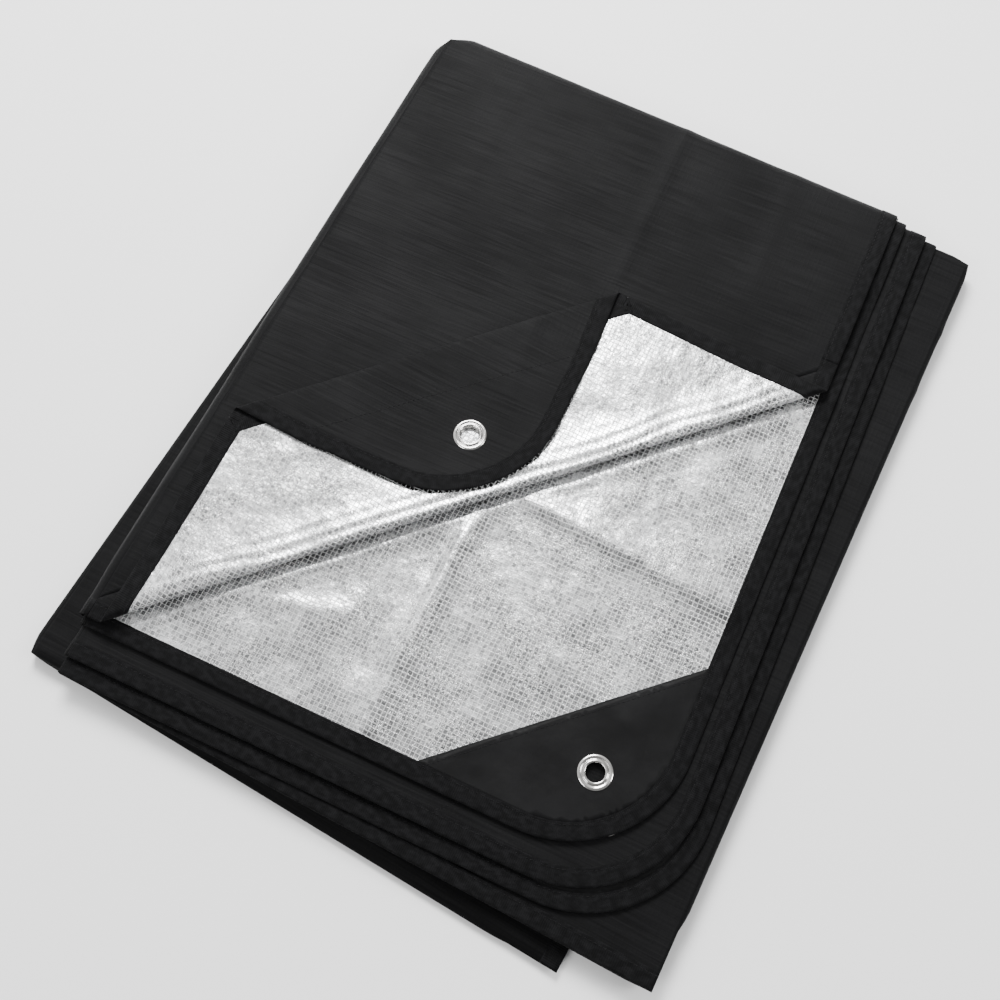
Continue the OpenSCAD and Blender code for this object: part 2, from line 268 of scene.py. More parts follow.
def meet(p, d, q, e):
    cross = lambda u, v: u[0] * v[1] - u[1] * v[0]
    return p + d * cross(q - p, e) / cross(d, e)


FAR_CORNER = meet(SIDE_P, SIDE_D, FAR_P, FAR_D)


def clip(outline, origin, direction, keep_left):
    """The part of a convex outline on one side of a line."""
    normal = np.array([-direction[1], direction[0]]) * (1 if keep_left else -1)
    away = (outline - origin) @ normal
    kept = []
    for k in range(len(outline)):
        a, b, da, db = outline[k - 1], outline[k], away[k - 1], away[k]
        if (da < 0) != (db < 0):
            kept.append(a + (b - a) * da / (da - db))
        if db >= 0:
            kept.append(b)
    return np.array(kept)


def sheet_outline(i, inset=0.0):
    """Layer i of the quarter stack, with its rounded corner."""
    x1, y0, r = RIGHT[i] - inset, NEAR[i] + inset, CORNER_R - inset
    turn = np.linspace(-math.pi / 2, 0, 33)
    arc = np.stack([x1 - r + r * np.cos(turn), y0 + r + r * np.sin(turn)], 1)
    return np.vstack([[LEFT, y0], arc, [x1, FAR], [LEFT, FAR]])


# The far fold as it crosses the unfolded left half of the stack
FAR_LEFT_P = flip(FAR_P, SIDE_P, SIDE_D)
FAR_LEFT_D = -(flip(FAR_P + FAR_D, SIDE_P, SIDE_D) - FAR_LEFT_P)


def quarter_outline(q, i):
    """Where quarter q of layer i is on the unfolded stack."""
    right = q in (TOP, BASE)
    line = (FAR_P, FAR_D) if right else (FAR_LEFT_P, FAR_LEFT_D)
    cut = clip(sheet_outline(i), SIDE_P, SIDE_D, not right)
    return clip(cut, *line, q in (LOWER, BASE))


def fold_plan(q, points):
    if q in (MIDDLE, LOWER):
        points = flip(points, SIDE_P, SIDE_D)
    if q in (LOWER, BASE):
        points = flip(points, FAR_P, FAR_D)
    return np.asarray(points, float)


def signed_area(outline):
    """Twice the area, positive for an outline that runs anticlockwise."""
    x, y = outline[:, 0], outline[:, 1]
    return x @ np.roll(y, -1) - y @ np.roll(x, -1)


# ---- Relief of the cloth ----

def lattice(seed):
    return np.random.RandomState(seed).rand(64, 64)


def wave(x, y, size, seed):
    """Smooth value noise from -1 to 1 with features of about size millimetres."""
    grid = lattice(seed)
    u, v = x / size + 100.3, y / size + 100.7
    i, j = np.floor(u).astype(int), np.floor(v).astype(int)
    f, g = u - i, v - j
    f, g = f * f * f * (f * (6 * f - 15) + 10), g * g * g * (g * (6 * g - 15) + 10)
    at = lambda a, b: grid[(i + a) % 64, (j + b) % 64]
    low = at(0, 0) * (1 - f) + at(1, 0) * f
    high = at(0, 1) * (1 - f) + at(1, 1) * f
    return 2 * (low * (1 - g) + high * g) - 1


def smooth(t):
    t = np.clip(t, 0, 1)
    return t * t * (3 - 2 * t)


def line_frame(x, y, start, end, fade):
    """Share along a line, millimetres to its left, and a factor that fades at both ends."""
    s, e = np.array(start, float), np.array(end, float)
    run = e - s
    length = np.linalg.norm(run)
    along = ((x - s[0]) * run[0] + (y - s[1]) * run[1]) / length ** 2
    off = (run[0] * (y - s[1]) - run[1] * (x - s[0])) / length
    return along, off, smooth(along / fade) * smooth((1 - along) / fade)


def ridge(x, y, start, end, height, width, fade=0.15):
    """A soft rounded ridge from start to end."""
    _, off, ends = line_frame(x, y, start, end, fade)
    return height * np.exp(-np.abs(off / width) ** 1.5) * ends


def crease(x, y, start, end, height, left, right, fade):
    """A crisp crease: it rises to a line, left and right millimetres wide on its two sides."""
    along, off, ends = line_frame(x, y, start, end, fade)
    width = np.where(off > 0, left, right) * (0.45 + 0.55 * np.clip(along, 0, 1))
    return height * np.exp(0.25 - np.sqrt((off / width) ** 2 + 0.0625)) * ends


def past_crease(x, y):
    """Millimetres from the corner crease towards the near right corner."""
    return (x - L1_P[0]) * L1_OUT[0] + (y - L1_P[1]) * L1_OUT[1]


CROSS = np.array([-2.0, -52.0])    # where the packing creases of the flat blanket cross
UNDER = 14.0       # how far layer A runs on under the flap before its own panel takes over
FLAP_END = 3.0     # the flap's piece stops this far before the tip crease


def top_relief(x, y):
    """Layer A: nearly flat, with the packing creases and a soft roll before the far fold."""
    z = 0.5 * wave(x, y, 90, 3) + 0.12 * wave(x, y, 28, 4)
    z += ridge(x, y, (8, 120), (6, 285), 0.9, 5)
    z += ridge(x, y, (-185, 105), (-60, 118), 0.5, 6)
    z += ridge(x, y, (-120, 130), (-118, 280), 0.5, 7)
    z += ridge(x, y, (95, 150), (90, 280), 0.45, 7)
    before = -((x - FAR_P[0]) * FAR_OUT[0] + (y - FAR_P[1]) * FAR_OUT[1])
    z -= 2.0 * np.exp(-np.maximum(before, 0) / 16)
    back = -past_crease(x, y)
    return z * smooth((back - 60) / 40) - smooth((UNDER + 18 - back) / 16)


def second_relief(x, y):
    """Layer B: creases that run from the cross to the near edge and to the right edge."""
    z = 0.7 * wave(x, y, 75, 11) + 0.35 * wave(x, y, 26, 12) + 0.14 * wave(x, y, 9, 13)
    z += crease(x, y, CROSS + (-6, 4), (-12, -224), 3.9, 10, 6.5, 0.07)
    z += crease(x, y, CROSS + (14, 16), (174, -54), 3.9, 15, 7.5, 0.08)
    z += ridge(x, y, (60, -120), (150, -150), 0.7, 6)
    z += ridge(x, y, (-120, -170), (-40, -150), 0.8, 7)
    away = past_crease(x, y)
    z += 1.3 * np.exp(-((away - 8) / 5.5) ** 2) * (0.75 + 0.25 * wave(x, y, 34, 14))
    ripples = np.sin(away * 2 * math.pi / 7.5 + 2 * wave(x, y, 60, 15))
    z += 0.4 * ripples * np.exp(-(away / 16) ** 2)
    top = 3.6 - 1.9 * np.exp(-(away / 18) ** 2)
    return z - np.logaddexp(0, 3 * (z - top)) / 3


def under_relief(seed):
    return lambda x, y: 0.55 * wave(x, y, 80, seed) + 0.15 * wave(x, y, 30, seed + 1)


def pressed_relief(x, y):
    return 0.14 * wave(x, y, 70, 31)


def strip_relief(x, y):
    """The outermost tucked layer, with the small kinks of its right edge."""
    z = pressed_relief(x, y)
    z += ridge(x, y, (190, 205), (232, 196), 1.3, 5, 0.3)
    z += ridge(x, y, (192, 160), (230, 143), 0.9, 5, 0.3)
    return z


def flap_relief(x, y):
    """The turned flap: puffed along its crease, with wrinkles beside it."""
    back = -past_crease(x, y)
    along = (x - L1_P[0]) * L1_D[0] + (y - L1_P[1]) * L1_D[1]
    z = (2.0 + 0.7 * wave(along, 0 * along, 70, 21)) * np.exp(-(back / 20) ** 2)
    sheet = flip(np.column_stack([np.ravel(x), np.ravel(y)]), L1_P, L1_D)
    inside = np.minimum(RIGHT[A] - sheet[:, 0], sheet[:, 1] - NEAR[A]).reshape(np.shape(x))
    ripples = np.sin(back * 2 * math.pi / 8 + 4.5 * wave(x, y, 65, 22))
    z += 0.55 * ripples * np.exp(-((back - 7) / 11) ** 2) * smooth((inside - TAPE_W - 3) / 12)
    bare = smooth((FLAP_W - back) / 25)
    z += bare * (0.8 * wave(x, y, 60, 23) + 0.35 * wave(x, y, 22, 24) + 0.12 * wave(x, y, 9, 25))
    return np.maximum(z, 0)


def tip_relief(x, y):
    """The tip lies over the puffed crease of the flap, so it rises a little towards it."""
    back = -past_crease(x, y)
    rise = 2.4 * np.exp(-(back / 26) ** 2)
    z = rise + 0.5 * wave(x, y, 70, 26) * smooth((FLAP_W - back) / 15)
    z += ridge(x, y, (-120, 5), (-45, -12), 0.8, 8) + ridge(x, y, (-30, 95), (-22, 10), 0.7, 8)
    clear = FLAP_Z + flap_relief(x, y) + 1.5 - TIP_Z
    return np.maximum(np.logaddexp(3 * z, 3 * clear) / 3, 0)


RELIEF = {(TOP, A): top_relief, (TOP, B): second_relief, (TOP, C): under_relief(16),
          (TOP, D): under_relief(18), (MIDDLE, D): strip_relief}


def height(q, i, x, y):
    return layer_z(q, i) + RELIEF.get((q, i), pressed_relief)(x, y)


# ---- Surfaces: from sheet points to points of the packet ----

class Surface:
    """place() gives points in space; on() also offsets them along the surface's normal."""

    def __init__(self, q, i):
        self.q, self.i = q, i

    def place(self, points):
        plan = fold_plan(self.q, points)
        return np.column_stack([plan, height(self.q, self.i, plan[:, 0], plan[:, 1])])

    def normal(self, points):
        h = 0.15
        dx = self.place(points + (h, 0)) - self.place(points - (h, 0))
        dy = self.place(points + (0, h)) - self.place(points - (0, h))
        n = np.cross(dx, dy)
        return n / np.linalg.norm(n, axis=1)[:, None]

    def on(self, points, lift):
        points = np.asarray(points, float)
        lift = np.broadcast_to(lift, (len(points),))
        return self.place(points) + self.normal(points) * lift[:, None]


PINCH = 0.15    # bulge left where a bend is drawn in at a corner
ROLL_1 = 7.0    # sheet length taken up by the roll at the corner crease
ROLL_2 = 4.5    # and at the tip crease
FROM_MIDDLE = 0.95    # a blend starts and ends this far from the middle of the layers it joins
FULL_1 = 0.65   # how far each roll stands out, against half its height
FULL_2 = 0.8
CATCH_UP = 34.0    # the tip regains the length of its roll over this distance


class TurnedSurface(Surface):
    """Layer A round its two diagonal creases: flat part, roll, flap, second roll and tip."""

    def __init__(self):
        super().__init__(TOP, A)

    def place(self, points):
        r = np.asarray(points, float) - L1_P
        out, along = r @ L1_OUT, r @ L1_D
        foot = L1_P + np.outer(along, L1_D)
        back = (out - ROLL_1) * FLAP_W / (FLAP_W - ROLL_1)
        e = out - FLAP_W
        ahead = np.where(e < CATCH_UP, (e - ROLL_2) * CATCH_UP / (CATCH_UP - ROLL_2), e)
        roll_1, z_1 = self.roll(foot, top_relief, flap_relief, TOP_Z[A], FLAP_Z, out / ROLL_1, FULL_1)
        roll_2, z_2 = self.roll(foot - L1_OUT * FLAP_W, flap_relief, tip_relief, FLAP_Z, TIP_Z,
                                e / ROLL_2, FULL_2)
        parts = [out <= 0, out < ROLL_1, out < FLAP_W, e < ROLL_2]
        shift = np.select(parts, [out, roll_1, -back, -FLAP_W - roll_2], -FLAP_W + ahead)
        plan = foot + np.outer(shift, L1_OUT)
        x, y = plan[:, 0], plan[:, 1]
        z = np.select(parts, [TOP_Z[A] + top_relief(x, y), z_1, FLAP_Z + flap_relief(x, y), z_2],
                      TIP_Z + tip_relief(x, y))
        return np.column_stack([plan, z])

    @staticmethod
    def roll(foot, low, high, z_low, z_high, share, fullness):
        """How far a roll stands out past its crease, and its height, at a share of its length."""
        x, y = foot[:, 0], foot[:, 1]
        a, b = z_low + low(x, y), z_high + high(x, y)
        angle = math.pi * np.clip(share, 0, 1)
        return fullness * (b - a) / 2 * np.sin(angle), a + (b - a) * ((1 - np.cos(angle)) / 2)


# ---- Meshes ----

def solid(name, points, faces, materials, face_material=None, sheet_points=None, rim=0):
    """A closed mesh with its faces turned outward. The last rim faces are a cut edge, shaded flat."""
    mesh = bpy.data.meshes.new(name)
    mesh.from_pydata((np.asarray(points) * MM).tolist(), [], [list(map(int, f)) for f in faces])
    for m in materials:
        mesh.materials.append(m)
    if face_material is not None:
        mesh.polygons.foreach_set("material_index", np.asarray(face_material, np.int32))
    mesh.polygons.foreach_set("use_smooth", np.arange(len(faces)) < len(faces) - rim)
    if sheet_points is not None:
        loops = np.zeros(len(mesh.loops), np.int32)
        mesh.loops.foreach_get("vertex_index", loops)
        uv = mesh.uv_layers.new(name="sheet")
        uv.data.foreach_set("uv", (np.asarray(sheet_points)[loops] * MM).astype(np.float32).ravel())
    mesh.validate()
    work = bmesh.new()
    work.from_mesh(mesh)
    bmesh.ops.recalc_face_normals(work, faces=work.faces)
    work.to_mesh(mesh)
    work.free()
    obj = bpy.data.objects.new(name, mesh)
    bpy.context.scene.collection.objects.link(obj)
    return obj


def walk(outline, step):
    """The outline with points no further apart than step."""
    points = []
    for k in range(len(outline)):
        a, b = outline[k], outline[(k + 1) % len(outline)]
        n = max(1, int(math.ceil(np.linalg.norm(b - a) / step)))
        points += [a + (b - a) * j / n for j in range(n)]
    return np.array(points)


def fill(outline, step, holes=(), extra=None, edge_step=None):
    """Triangles over an outline with holes, on a grid of step millimetres."""
    loops = [walk(outline, edge_step or step)] + [np.asarray(h) for h in holes]
    border = np.vstack(loops)
    edges, start = [], 0
    for loop in loops:
        edges += [(start + k, start + (k + 1) % len(loop)) for k in range(len(loop))]
        start += len(loop)
    low, high = outline.min(0), outline.max(0)
    gx, gy = np.meshgrid(np.arange(low[0] + step / 2, high[0], step),
                         np.arange(low[1] + step / 2, high[1], step))
    grid = np.column_stack([gx.ravel(), gy.ravel()])
    if extra is not None:
        grid = np.vstack([grid, extra])
    grid = grid[depth_inside(grid, outline) > step * 0.45]
    for h in holes:
        away, reach = around(grid, h)
        grid = grid[away > reach + step * 0.3]
    points = np.vstack([border, grid])
    co, _, faces, *_ = geometry.delaunay_2d_cdt([Vector(p) for p in points], edges, [], 2, 1e-4)
    co, faces = np.array([tuple(c) for c in co]), [tuple(f) for f in faces]
    for h in holes:
        away, reach = around(co, h)
        faces = [f for f in faces if max(away[list(f)]) > reach + 0.01]
    return co, faces


def around(points, ring):
    """Distances of points from the middle of a round hole, and the hole's radius."""
    centre = np.mean(ring, 0)
    return (np.linalg.norm(points - centre, axis=1), np.linalg.norm(ring - centre, axis=1).max())


def depth_inside(points, convex):
    """How far points lie inside a convex outline."""
    sign = 1 if signed_area(convex) > 0 else -1
    depth = np.full(len(points), 1e9)
    for a, b in zip(convex, np.roll(convex, -1, 0)):
        length = np.linalg.norm(b - a)
        if length > 1e-6:
            run, r = (b - a) / length, points - a
            depth = np.minimum(depth, sign * (run[0] * r[:, 1] - run[1] * r[:, 0]))
    return depth


def border_edges(faces):
    seen = {}
    for f in faces:
        for k in range(len(f)):
            seen[(f[k], f[(k + 1) % len(f)])] = True
    return [e for e in seen if (e[1], e[0]) not in seen]


def slab(name, surface, points, faces, low, high, materials):
    """A thin solid between two distances from a surface: materials for its upper and lower side."""
    n = len(points)
    upper, lower = surface.on(points, high), surface.on(points, low)
    rim = border_edges(faces)
    made = list(faces) + [tuple(n + v for v in reversed(f)) for f in faces]
    made += [(a, n + a, n + b, b) for a, b in rim]
    kinds = [0] * len(faces) + [1] * len(faces) + [int(materials[1] is CLOTH)] * len(rim)
    return solid(name, np.vstack([upper, lower]), made, materials, kinds,
                 np.vstack([points, points]), len(rim))


def laminate(name, surface, outline, step, holes=(), extra=None, edge_step=None):
    """Cloth and film of one panel. The sheet's upper face is black in layers A and C."""
    points, faces = fill(outline, step, holes, extra, edge_step)
    pair = [CLOTH, FILM] if surface.i % 2 == 0 else [FILM, CLOTH]
    return slab(name, surface, points, faces, -LAMINATE / 2, LAMINATE / 2, pair)


def inward(path):
    """Unit normals of a path, to its left."""
    step = np.gradient(path, axis=0)
    step /= np.linalg.norm(step, axis=1)[:, None]
    return np.column_stack([-step[:, 1], step[:, 0]])


def length_along(path):
    return np.concatenate([[0], np.cumsum(np.linalg.norm(np.diff(path, axis=0), axis=1))])


def resample(path, step):
    length = length_along(path)
    at = np.linspace(0, length[-1], max(3, int(length[-1] / step) + 1))
    return np.column_stack([np.interp(at, length, path[:, k]) for k in (0, 1)])


def tape(name, surface, path, step=2.5, flat=False):
    """Binding tape folded over an edge. The path runs along the edge with the cloth on its left."""
    path = resample(path, step)
    side = inward(path)
    half, out, loft = LAMINATE / 2, 0.45, 0.0 if flat else 1.0
    top = half + TAPE_T
    outer = [(TAPE_W, half + 0.05), (TAPE_W, top), (TAPE_W - 0.8, top + 0.12 * loft),
             (TAPE_W - 1.9, top - 0.03), (TAPE_W - 3, top + 0.1 * loft),
             (TAPE_W - 4.2, top + 0.12 * loft), (TAPE_W / 2, top + 0.12 * loft),
             (4.0, top + 0.1 * loft), (2.6, top + 0.06 * loft), (1.2, top),
             (-out * 0.4, half + TAPE_T * 0.7), (-out, 0)]
    section = outer + [(a, -h) for a, h in reversed(outer[:-1])]
    inside = (8.2, 5.4, 2.6, 0)
    section += [(a, -half) for a in inside] + [(a, half) for a in reversed(inside)]
    rows = [surface.on(path + side * a, h) for a, h in section]
    n, m = len(path), len(section)
    points = np.vstack(rows)
    faces = [(k * n + j, ((k + 1) % m) * n + j, ((k + 1) % m) * n + j + 1, k * n + j + 1)
             for k in range(m) for j in range(n - 1)]
    faces += [tuple(k * n for k in reversed(range(m))), tuple(k * n + n - 1 for k in range(m))]
    sheet = np.vstack([np.column_stack([np.full(n, 3.0 * k), length_along(path)]) for k in range(m)])
    return solid(name, points, faces, [TAPE], None, sheet)


def stitches(name, surface, path, lift):
    """A sewn line: one small rounded strand for each stitch, of five rings of six points."""
    run = resample(path, STITCH)
    plan, rise, faces = [], [], []
    ring = [(math.cos(t), math.sin(t)) for t in np.linspace(0, 2 * math.pi, 7)[:-1]]
    for a, b in zip(run[:-1], run[1:]):
        first = len(plan)
        across = np.array([-(b - a)[1], (b - a)[0]]) / np.linalg.norm(b - a)
        for share, swell in ((0.0, 0.45), (0.2, 0.9), (0.5, 1.0), (0.8, 0.9), (1.0, 0.45)):
            centre = a + (b - a) * STITCH_SHARE * share
            plan += [centre + across * c * THREAD_W / 2 * swell for c, _ in ring]
            rise += [h * THREAD_W / 2 * swell - 0.22 * (2 * share - 1) ** 2 for _, h in ring]
        for k in range(4):
            for j in range(6):
                p, q = first + k * 6 + j, first + k * 6 + (j + 1) % 6
                faces.append((p, q, q + 6, p + 6))
        faces.append(tuple(first + j for j in reversed(range(6))))
        faces.append(tuple(first + 24 + j for j in range(6)))
    plan = np.array(plan)
    at = surface.on(plan, lift + math.copysign(1, lift) * np.array(rise))
    return solid(name, at, faces, [THREAD], None, plan)


def bend(name, start, end, upper, lower, node, bound=False):
    """The cloth round a fold, on the left of start to end: arcs from the upper layer to the lower,
    each a (quarter, layer) pair. It is drawn in at both ends; a bound bend is taped at its start."""
    start, end = np.asarray(start, float), np.asarray(end, float)
    run = end - start
    length = np.linalg.norm(run)
    run = run / length
    out = np.array([-run[1], run[0]])
    along = np.linspace(0, length, max(8, int(length / 4)))
    taped = TAPE_W if bound else -1.0
    if bound:
        along = np.sort(np.concatenate([along, [taped, taped + 0.2]]))
    thick = LAMINATE / 2 + np.where(along <= taped, TAPE_T, 0.0)
    share = drawn_in((length - along) / 14) * (1 if bound else drawn_in(along / 14))
    x, y = (start[:, None] + np.outer(run, along))
    high, low = height(*upper, x, y), height(*lower, x, y)
    turn = math.pi * smooth(np.linspace(0, 1, 15))
    skins = []
    for side in (1, -1):
        for t in turn:
            r = (high - low) / 2 + side * thick
            bulge = out[:, None] * (r * math.sin(t) * share)
            level = (high + low) / 2 + r * math.cos(t)
            skins.append(np.column_stack([x + bulge[0], y + bulge[1], level]))
    n, m = len(along), len(turn)
    grid = [(k * n + j, k * n + j + 1, (k + 1) * n + j + 1, (k + 1) * n + j)
            for k in range(m - 1) for j in range(n - 1)]
    faces = [tuple(reversed(f)) for f in grid] + [tuple(m * n + v for v in f) for f in grid]
    rim = []
    for k in range(m - 1):
        a, b, c, d = k * n, (k + 1) * n, m * n + k * n, m * n + (k + 1) * n
        rim += [(a, b, d, c), (a + n - 1, c + n - 1, d + n - 1, b + n - 1)]
    for j in range(n - 1):
        last = (m - 1) * n
        rim += [(j, m * n + j, m * n + j + 1, j + 1),
                (last + j, last + j + 1, m * n + last + j + 1, m * n + last + j)]
    black = edge_is_black(*upper)
    columns = np.tile(along[:-1] < taped - 0.01, m - 1)
    kinds = [*np.where(columns, 2, 0), *np.where(columns, 2, 1)]
    kinds += [2 if bound else int(not black)] * len(rim)
    plan = np.column_stack([np.tile(along, m), np.repeat(turn * 4.0, n)])
    materials = [CLOTH, FILM, TAPE] if black else [FILM, CLOTH, TAPE]
    obj = solid(name, np.vstack(skins), faces + rim, materials, kinds, np.vstack([plan, plan]), len(rim))
    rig.slot(obj, "outer_cloth")
    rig.replaces(obj, node)
    declare_strip(obj, float(length), float(np.mean(high - low) * math.pi / 2))
    return obj


def drawn_in(share):
    """How much of a bend's bulge is left, from its corner (0) to where it is full (1)."""
    return PINCH + (1 - PINCH) * np.sqrt(smooth(share))


def declare_strip(obj, long, deep):
    """States the cut size of a bend: its length, and the cloth's way round the fold."""
    side = max(deep, NARROWEST)
    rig.sheet(obj, flat=(long * MM, side * MM), held="folded", rests_on=[],
             area=max(THINNEST, min(1.0, deep / NARROWEST)) * long * side * MM * MM)


def lathe(name, profile, centre, z, up, material, steps=96):
    """A turned ring. The closed profile is (radius, height) pairs, height along up."""
    turn = np.linspace(0, 2 * math.pi, steps, endpoint=False)
    m = len(profile)
    points = np.vstack([np.column_stack([centre[0] + r * np.cos(turn), centre[1] + r * np.sin(turn),
                                         np.full(steps, z + up * h)]) for r, h in profile])
    faces = []
    for k in range(m):
        for j in range(steps):
            a, b = k * steps + j, k * steps + (j + 1) % steps
            c, d = ((k + 1) % m) * steps + (j + 1) % steps, ((k + 1) % m) * steps + j
            faces.append((a, b, c, d) if up > 0 else (d, c, b, a))
    return solid(name, points, faces, [material])


# ---- Materials ----

def material(name, base, roughness, metallic=0.0, **sockets):
    """A Principled material; other constant inputs are given by name."""
    m = bpy.data.materials.new(name)
    m.use_nodes = True
    shader = m.node_tree.nodes["Principled BSDF"]
    shader.inputs["Base Color"].default_value = (*base, 1)
    shader.inputs["Roughness"].default_value = roughness
    shader.inputs["Metallic"].default_value = metallic
    for socket, value in sockets.items():
        shader.inputs[socket.replace("_", " ")].default_value = value
    return m


class Nodes:
    """Short hands for wiring one material's nodes."""

    def __init__(self, m):
        self.tree = m.node_tree
        self.shader = self.tree.nodes["Principled BSDF"]
        sheet = self.add("ShaderNodeUVMap", uv_map="sheet").outputs[0]
        self.mm = self.vector("SCALE", {0: sheet, "Scale": 1000})

    def add(self, kind, inputs=None, **settings):
        node = self.tree.nodes.new(kind)
        for k, v in settings.items():
            setattr(node, k, v)
        for k, v in (inputs or {}).items():
            self.put(node.inputs[k], v)
        return node

    def put(self, socket, value):
        if isinstance(value, bpy.types.NodeSocket):
            self.tree.links.new(value, socket)
        else:
            socket.default_value = value

    def vector(self, operation, inputs):
        return self.add("ShaderNodeVectorMath", inputs, operation=operation).outputs[0]

    def drive(self, socket, value):
        self.put(self.shader.inputs[socket], value)

    def math(self, operation, a, b=0.0):
        return self.add("ShaderNodeMath", {0: a, 1: b}, operation=operation).outputs[0]

    def blend(self, a, share_a, b, share_b):
        """A weighted sum."""
        return self.math("ADD", self.math("MULTIPLY", a, share_a), self.math("MULTIPLY", b, share_b))

    def sine(self, value, pitch):
        return self.math("SINE", self.math("MULTIPLY", value, 2 * math.pi / pitch))

    def weave(self, pitch):
        x, y = self.split()
        return self.math("MULTIPLY", self.sine(x, pitch), self.sine(y, pitch))

    def noise(self, scale, detail=2.0, vector=None, rough=0.5, stretch=None):
        vector = vector or self.mm
        if stretch:
            vector = self.add("ShaderNodeMapping", {"Vector": vector, "Scale": stretch}).outputs[0]
        return self.add("ShaderNodeTexNoise", {"Vector": vector, "Scale": scale, "Detail": detail,
                                               "Roughness": rough}).outputs[0]

    def ramp(self, value, low, high, out_low=0.0, out_high=1.0):
        return self.add("ShaderNodeMapRange", {"Value": value, "From Min": low, "From Max": high,
                                               "To Min": out_low, "To Max": out_high},
                        interpolation_type="SMOOTHSTEP").outputs[0]

    def split(self, vector=None):
        s = self.add("ShaderNodeSeparateXYZ", {0: vector or self.mm})
        return s.outputs[0], s.outputs[1]

    def lines(self, value, pitch, width, softness=0.35):
        """1 on thin lines every pitch millimetres, 0 between them."""
        saw = self.math("PINGPONG", value, pitch / 2)
        return self.ramp(saw, width / 2 + softness, width / 2 - softness * 0.3)

    def bump(self, height, distance, strength, normal=None):
        inputs = {"Height": height, "Distance": distance * MM, "Strength": strength}
        if normal is not None:
            inputs["Normal"] = normal
        return self.add("ShaderNodeBump", inputs).outputs[0]

    def mix(self, share, a, b):
        node = self.add("ShaderNodeMix", data_type="RGBA")
        self.put(node.inputs[0], share)
        self.put(node.inputs[6], (*a, 1) if isinstance(a, tuple) else a)
        self.put(node.inputs[7], (*b, 1) if isinstance(b, tuple) else b)
        return node.outputs[2]


def cloth_material():
    """Black woven cloth: fine plain weave, uneven weft lines, and the scrim faintly showing through."""
    m = material("black_cloth", (0.006, 0.006, 0.0065), 0.62, Specular_IOR_Level=0.07,
                 Sheen_Weight=0.025, Sheen_Roughness=0.45)
    n = Nodes(m)
    x, y = n.split()
    weft = n.noise(1.0, 3, stretch=(0.02, 0.75, 1), rough=0.6)
    warp = n.noise(1.0, 2, stretch=(0.6, 0.03, 1))
    grid = n.math("MAXIMUM", n.lines(x, 3.0, 0.5), n.lines(y, 3.0, 0.5))
    tone = n.blend(weft, 0.6, n.noise(0.012, 3), 0.4)
    n.drive("Base Color", n.mix(n.ramp(tone, 0.3, 0.7), (0.0014, 0.0014, 0.0016),
                                (0.0056, 0.0056, 0.0060)))
    n.drive("Roughness", n.ramp(tone, 0.25, 0.75, 0.66, 0.5))
    lines = n.math("ADD", n.blend(weft, 0.7, warp, 0.3), n.math("MULTIPLY", grid, 0.18))
    n.drive("Normal", n.bump(lines, 0.3, 0.75, n.bump(n.weave(0.55), 0.05, 0.6)))
    return m


SCRIM = 2.9     # pitch of the scrim threads, mm


def film_material():
    """Aluminised film over a square scrim: smudged silver and raised threads, with painted light: scattered facets
    painted as near-white glints or darker specks, and each scrim cell painted lighter or darker as though tilted to or
    from the light.
    """
    m = material("silver_film", (0.85, 0.86, 0.87), 0.2, 1.0)
    n = Nodes(m)
    wobble = n.add("ShaderNodeTexNoise", {"Vector": n.mm, "Scale": 0.035, "Detail": 2.0}).outputs[1]
    moved = n.vector("MULTIPLY_ADD", {0: wobble, 1: (3.0, 3.0, 0), 2: n.mm})
    x, y = n.split(moved)
    scrim = n.math("MAXIMUM", n.lines(x, SCRIM, 0.27, 0.15), n.lines(y, SCRIM, 0.27, 0.15))
    snapped = n.vector("SNAP", {0: moved, 1: (SCRIM, SCRIM, 1)})
    # Each scrim cell gets a random brightness: painted light and shade of cells tilted towards or away from the light.
    painted_cell_tilt = n.add("ShaderNodeTexWhiteNoise", {"Vector": snapped}, noise_dimensions="2D").outputs[0]
    shard = n.add("ShaderNodeTexVoronoi", {"Vector": n.mm, "Scale": 1.0, "Randomness": 1.0},
                  feature="F1")
    facet = n.split(shard.outputs["Color"])[0]
    crinkled = n.ramp(n.noise(0.022, 3, rough=0.6), 0.46, 0.62)
    # Painted glints: scattered facets, more of them where the film is crinkled, are painted near-white in place of the
    # light they reflect.
    painted_glint = n.math("MULTIPLY", n.ramp(facet, 0.66, 0.8),
                   n.math("ADD", n.math("MULTIPLY", crinkled, 0.65), 0.35))
    smudge = n.noise(0.02, 4, rough=0.55, stretch=(1.0, 2.2, 1))
    ripple = n.noise(0.3, 3, rough=0.55)
    # Patchy random tone of the film (smudge and ripple noise), plus the painted tilt shading of the scrim cells.
    tone_and_painted_tilt = n.math("ADD", n.blend(smudge, 0.4, ripple, 0.3), n.math("MULTIPLY", painted_cell_tilt, 0.2))
    film = n.mix(n.ramp(tone_and_painted_tilt, 0.3, 0.62), (0.30, 0.305, 0.31), (0.80, 0.81, 0.82))
    film = n.mix(painted_glint, film, (0.99, 0.99, 0.99))
    # Painted shade: some facets are painted darker to stand for facets tilted away from the light.
    film = n.mix(n.math("MULTIPLY", n.ramp(facet, 0.3, 0.16), 0.4), film, (0.2, 0.2, 0.205))
    n.drive("Base Color", n.mix(n.math("MULTIPLY", scrim, 0.85), film, (0.80, 0.80, 0.80)))
    n.drive("Metallic", n.ramp(scrim, 0.0, 1.0, 1.0, 0.45))
    smear = n.ramp(n.noise(0.03, 2), 0.3, 0.7, 0.2, 0.3)
    n.drive("Roughness", n.math("ADD", smear, n.math("MULTIPLY", scrim, 0.2)))
    relief = n.blend(n.math("MULTIPLY", facet, crinkled), 0.7, ripple, 0.8)
    raised = n.bump(scrim, 0.3, 0.9, n.bump(relief, 0.5, 0.6))
    n.drive("Normal", n.bump(n.noise(0.045, 2), 1.4, 0.6, raised))
    return m


